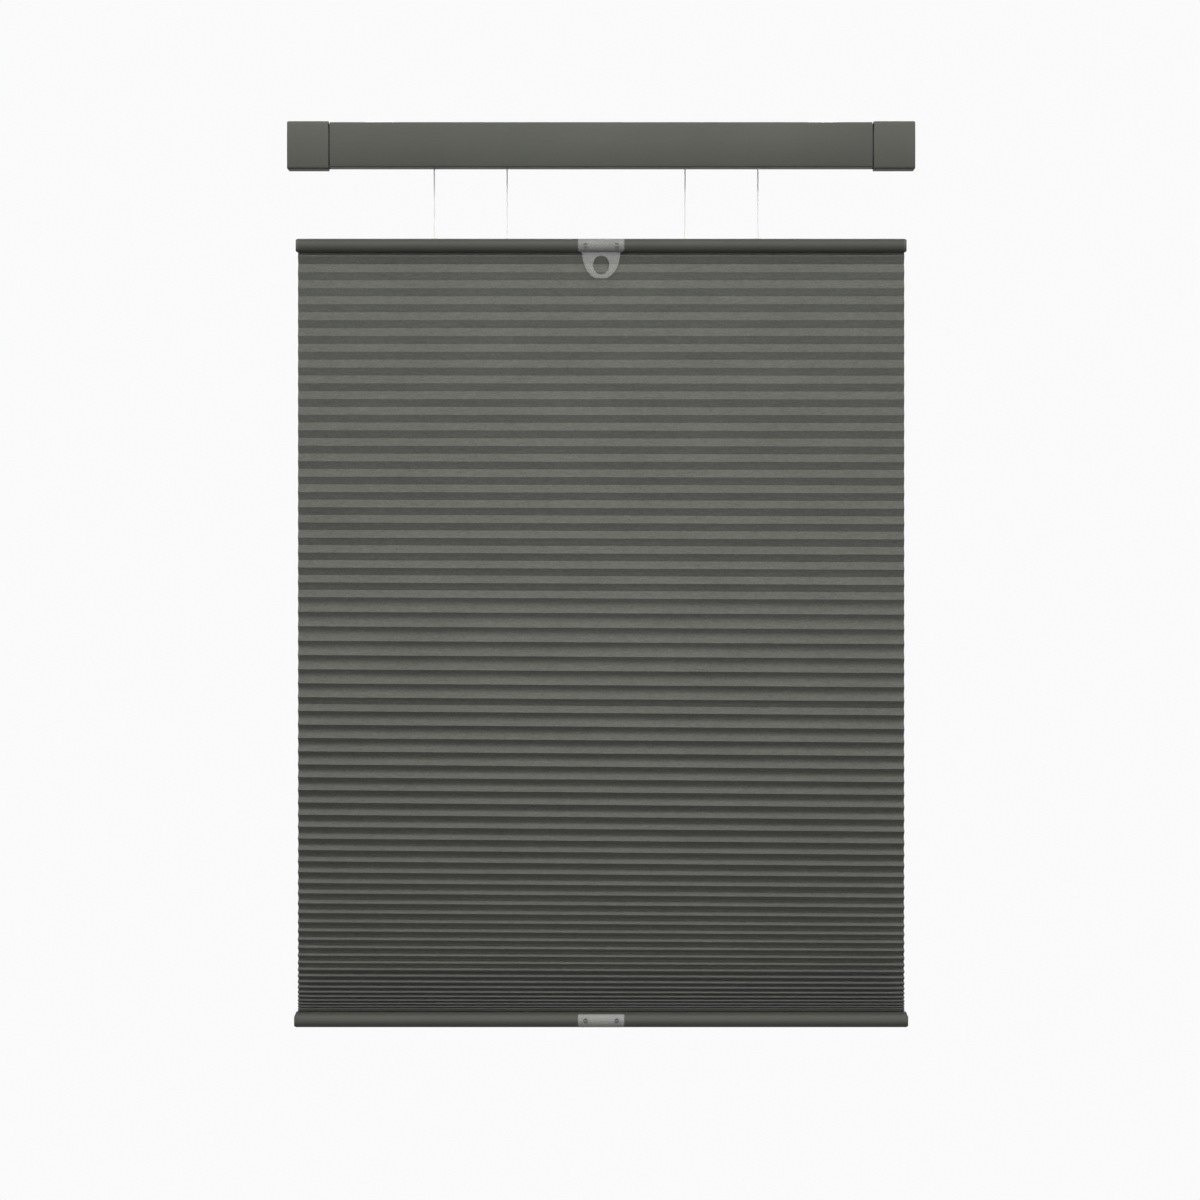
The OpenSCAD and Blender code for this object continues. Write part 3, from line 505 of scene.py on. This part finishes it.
def sweep(name, section):
    """Carry a section across the fabric's width, closed at both ends."""
    points = np.array(section.points)
    total = len(points)
    x = np.repeat(np.linspace(-WIDTH / 2, WIDTH / 2, STATIONS), total)
    y = np.tile(points[:, 0], STATIONS)
    z = np.tile(points[:, 1], STATIONS)
    x = x * (1 - np.tile(section.drawn_in, STATIONS) / (WIDTH / 2))
    out, lift = sway(x, z)
    faces = []
    for k in range(STATIONS - 1):
        a, b = k * total, (k + 1) * total
        faces += [(a + p, a + q, b + q, b + p) for p, q in section.strips]
    last = (STATIONS - 1) * total
    faces += [tuple(reversed(end)) for end in section.ends]
    faces += [tuple(last + p for p in end) for end in section.ends]
    vertices = np.stack([x, y + out, z + lift], 1).tolist()
    obj = new_object(name, vertices, faces, materials["pleat_fabric"])
    mark_creases(obj.data, section)
    return obj


def cloth_piece(name, cells, neck_top=None, neck_low=None):
    """A run of honeycomb cells as one closed thin-walled mesh, with its neck into a rail."""
    section = Section()
    top = VALLEYS[cells[0]]
    drawn_in = PINCH * DEPTHS[cells[0]]
    start = section.pair(GLUE, top if neck_top is None else neck_top, drawn_in, crease=True)
    valley = start
    if neck_top is not None:
        valley = section.pair(GLUE, top, drawn_in, crease=True)
        section.neck(start, valley)
    section.strips.append((start[1], start[0]))
    for i in cells:
        valley = add_cell(section, i, valley, last=i == cells[-1])
    if neck_low is not None:
        end = section.pair(GLUE, neck_low, crease=True)
        section.neck(valley, end)
        valley = end
    section.strips.append((valley[0], valley[1]))
    return sweep(name, section)


# The fabric is two sheets that meet at a glued valley: the upper one with its neck into the middle rail's
# strip, the lower one with its neck into the bottom rail's strip
split_cell = next(i for i, z in enumerate(VALLEYS) if z < MID_LOW - SPLIT)
strip_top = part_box("middle_fabric_strip")[0].z
strip_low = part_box("bottom_fabric_strip")[1].z
upper_cells = range(0, split_cell)
lower_cells = range(split_cell, len(RIDGES))
upper = cloth_piece("pleats_upper", upper_cells, neck_top=strip_top)
lower = cloth_piece("pleats_lower", lower_cells, neck_low=strip_low)
for piece, cells, rail, end_z, held_by in (
    (upper, upper_cells, "middle_rail", MID_LOW, "middle_fabric_strip"),
    (lower, lower_cells, "bottom_rail", BOT_TOP, "bottom_fabric_strip"),
):
    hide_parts("pleated_fabric")
    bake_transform(piece)


# Lift cords
def cord_piece(node):
    """A taut cord in the place of its node, as a tube of rings between its two ends."""
    sides, rings = 12, 60
    low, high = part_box(node)
    cx, cy = (low.x + high.x) / 2, (low.y + high.y) / 2
    vertices, faces = [], []
    for k in range(rings + 1):
        z = high.z + (low.z - high.z) * k / rings
        for s in range(sides):
            a = 2 * math.pi * s / sides
            vertices.append((cx + CORD_R * math.cos(a), cy + CORD_R * math.sin(a), z))
    for k in range(rings):
        for s in range(sides):
            a, b = k * sides + s, k * sides + (s + 1) % sides
            faces.append((a, a + sides, b + sides, b))
    faces.append(tuple(range(sides)))
    faces.append(tuple(reversed(range(rings * sides, (rings + 1) * sides))))
    obj = new_object(node + "_braid", vertices, faces, materials["cord"])
    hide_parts(node)
    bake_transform(obj)


for side in ("left", "right"):
    cord_piece("middle_cord_" + side)
    cord_piece("bottom_cord_" + side)


# Light and stage
def area_light(name, place, aim, size, power, spread):
    """A soft rectangular lamp; spread is the angle of its beam in degrees."""
    data = bpy.data.lights.new(name, "AREA")
    data.spread = math.radians(spread)
    data.shape = "RECTANGLE"
    data.size, data.size_y = size
    data.energy = power
    light = bpy.data.objects.new(name, data)
    light.location = place
    light.rotation_mode = "QUATERNION"
    light.rotation_quaternion = (Vector(aim) - Vector(place)).to_track_quat("-Z", "Y")
    scene.collection.objects.link(light)


MIDDLE = (0, 0, -0.45)
area_light("key", place=(0, -2.0, 2.1), aim=(0, 0, 0), size=(1.6, 1.0), power=6.9, spread=45)
area_light("front", place=(0, -5.0, 0.1), aim=(0, 0, -0.55), size=(2.4, 1.8), power=6.2, spread=40)
area_light("rear", place=(0.6, 4.4, 1.2), aim=MIDDLE, size=(2.4, 1.8), power=10, spread=34)
area_light("left", place=(-4.4, 0, 0.3), aim=MIDDLE, size=(1.6, 1.6), power=3.6, spread=26)
area_light("right", place=(4.4, 0, 0.3), aim=MIDDLE, size=(1.6, 1.6), power=3.6, spread=26)


def seen_ray(nodes, links):
    """1 for camera, transmission and glossy rays, which see a white studio, and 0 for other rays."""
    path = nodes.new("ShaderNodeLightPath")
    value = path.outputs["Is Camera Ray"]
    for other in ("Is Transmission Ray", "Is Glossy Ray"):
        either = nodes.new("ShaderNodeMath")
        either.operation = "MAXIMUM"
        links.new(value, either.inputs[0])
        links.new(path.outputs[other], either.inputs[1])
        value = either.outputs[0]
    return value


def mix_shaders(nodes, links, share, first, second):
    node = nodes.new("ShaderNodeMixShader")
    for value, socket in zip((share, first, second), node.inputs):
        links.new(value, socket)
    return node.outputs[0]


def background(nodes, colour, strength):
    node = nodes.new("ShaderNodeBackground")
    set_inputs(node, {"Color": (*colour, 1), "Strength": strength})
    return node.outputs[0]


def make_world():
    """White to the eye and in reflections, and a faint fill as light."""
    world = bpy.data.worlds.new("studio")
    scene.world = world
    world.use_nodes = True
    nodes, links = world.node_tree.nodes, world.node_tree.links
    nodes.clear()
    fill = background(nodes, colour=(0.9, 0.92, 0.95), strength=0.12)
    white = background(nodes, colour=(0.96, 0.96, 0.97), strength=1.0)
    out = nodes.new("ShaderNodeOutputWorld")
    links.new(mix_shaders(nodes, links, seen_ray(nodes, links), fill, white), out.inputs[0])


make_world()


def make_floor():
    """A pale floor below the hung blind: mostly its own white to the eye, and the rest keeps the shadow."""
    z, half = -2.1, 14.0
    glow_share = 0.8
    mat, nodes, links, shader = new_material("floor")
    grain = noise(nodes, links, scale=(5, 5, 5), detail=3.0)
    pale = wander(nodes, links, grain, dark=(0.93, 0.93, 0.935), light=(0.945, 0.945, 0.95))
    tone = wander(nodes, links, grain, dark=(0.39, 0.39, 0.39), light=(0.41, 0.41, 0.41))
    links.new(tone, shader.inputs["Base Color"])
    set_inputs(shader, {"Roughness": 0.8})
    glow = nodes.new("ShaderNodeEmission")
    links.new(pale, glow.inputs["Color"])
    set_inputs(glow, {"Strength": 1.0})
    share = nodes.new("ShaderNodeMath")
    share.operation = "MULTIPLY"
    links.new(seen_ray(nodes, links), share.inputs[0])
    share.inputs[1].default_value = glow_share
    surface = mix_shaders(nodes, links, share.outputs[0], shader.outputs[0], glow.outputs[0])
    links.new(surface, nodes["Material Output"].inputs["Surface"])
    corners = [(-half, -half, z), (half, -half, z), (half, half, z), (-half, half, z)]
    new_object("floor", corners, [(0, 1, 2, 3)], mat)


make_floor()
